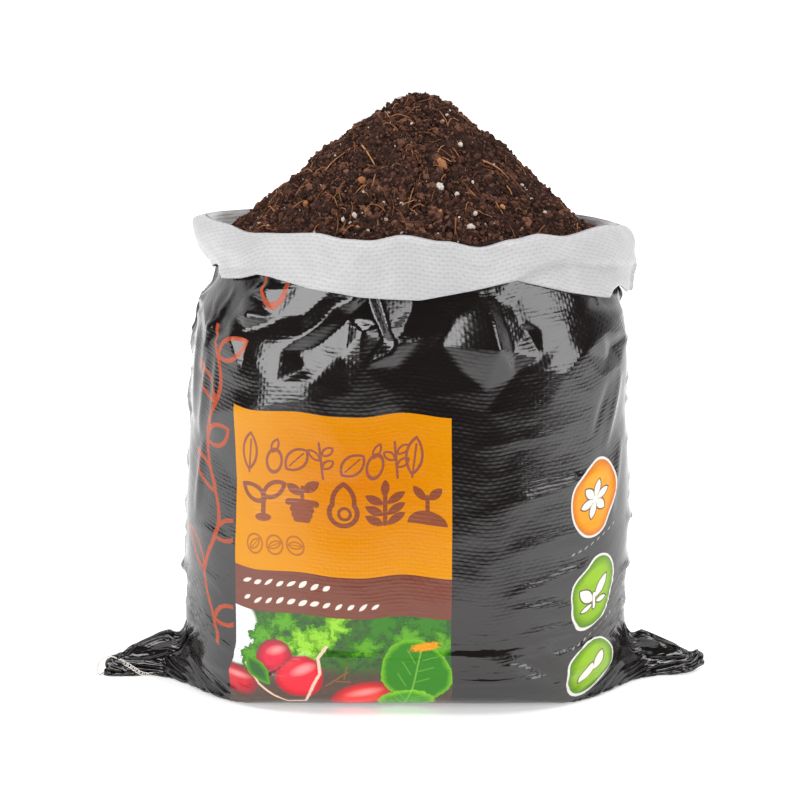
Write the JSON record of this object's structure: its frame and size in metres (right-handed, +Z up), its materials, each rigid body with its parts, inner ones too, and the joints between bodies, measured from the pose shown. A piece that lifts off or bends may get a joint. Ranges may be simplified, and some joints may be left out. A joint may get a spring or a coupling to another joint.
{
  "type": "compost bag",
  "caption": "Open woven plastic sack of potting compost, mouth rolled out into a white cuff, dark compost heaped above the rim, flat sewn corners on the floor.",
  "frame": {"origin": "on the floor, under the middle of the sack's bounding box", "axes": "+Z up, +X along the bottom seam to the right as seen from the printed front, +Y from the printed front to the back"},
  "size_m": [0.4039, 0.2026, 0.3823],
  "materials": {
    "film": "printed glossy film laminated on woven polypropylene, white on the inside",
    "compost": "loose moist compost, no sheen",
    "thread": "twisted polyester thread",
    "perlite": "rough porous grains",
    "wood": "raw bark and dry stems"
  },
  "bodies": {
    "root": {"sack": "film", "compost_fill": "compost", "bottom_seam_thread": "thread", "seam_thread_tail": "thread", "perlite_grain_1": "perlite", "perlite_grain_2": "perlite", "perlite_grain_3": "perlite", "perlite_grain_4": "perlite", "perlite_grain_5": "perlite", "perlite_grain_6": "perlite", "perlite_grain_7": "perlite", "perlite_grain_8": "perlite", "wood_chip": "wood", "bark_chip": "wood", "plant_stem_1": "wood", "plant_stem_2": "wood"}
  },
  "joints": []
}
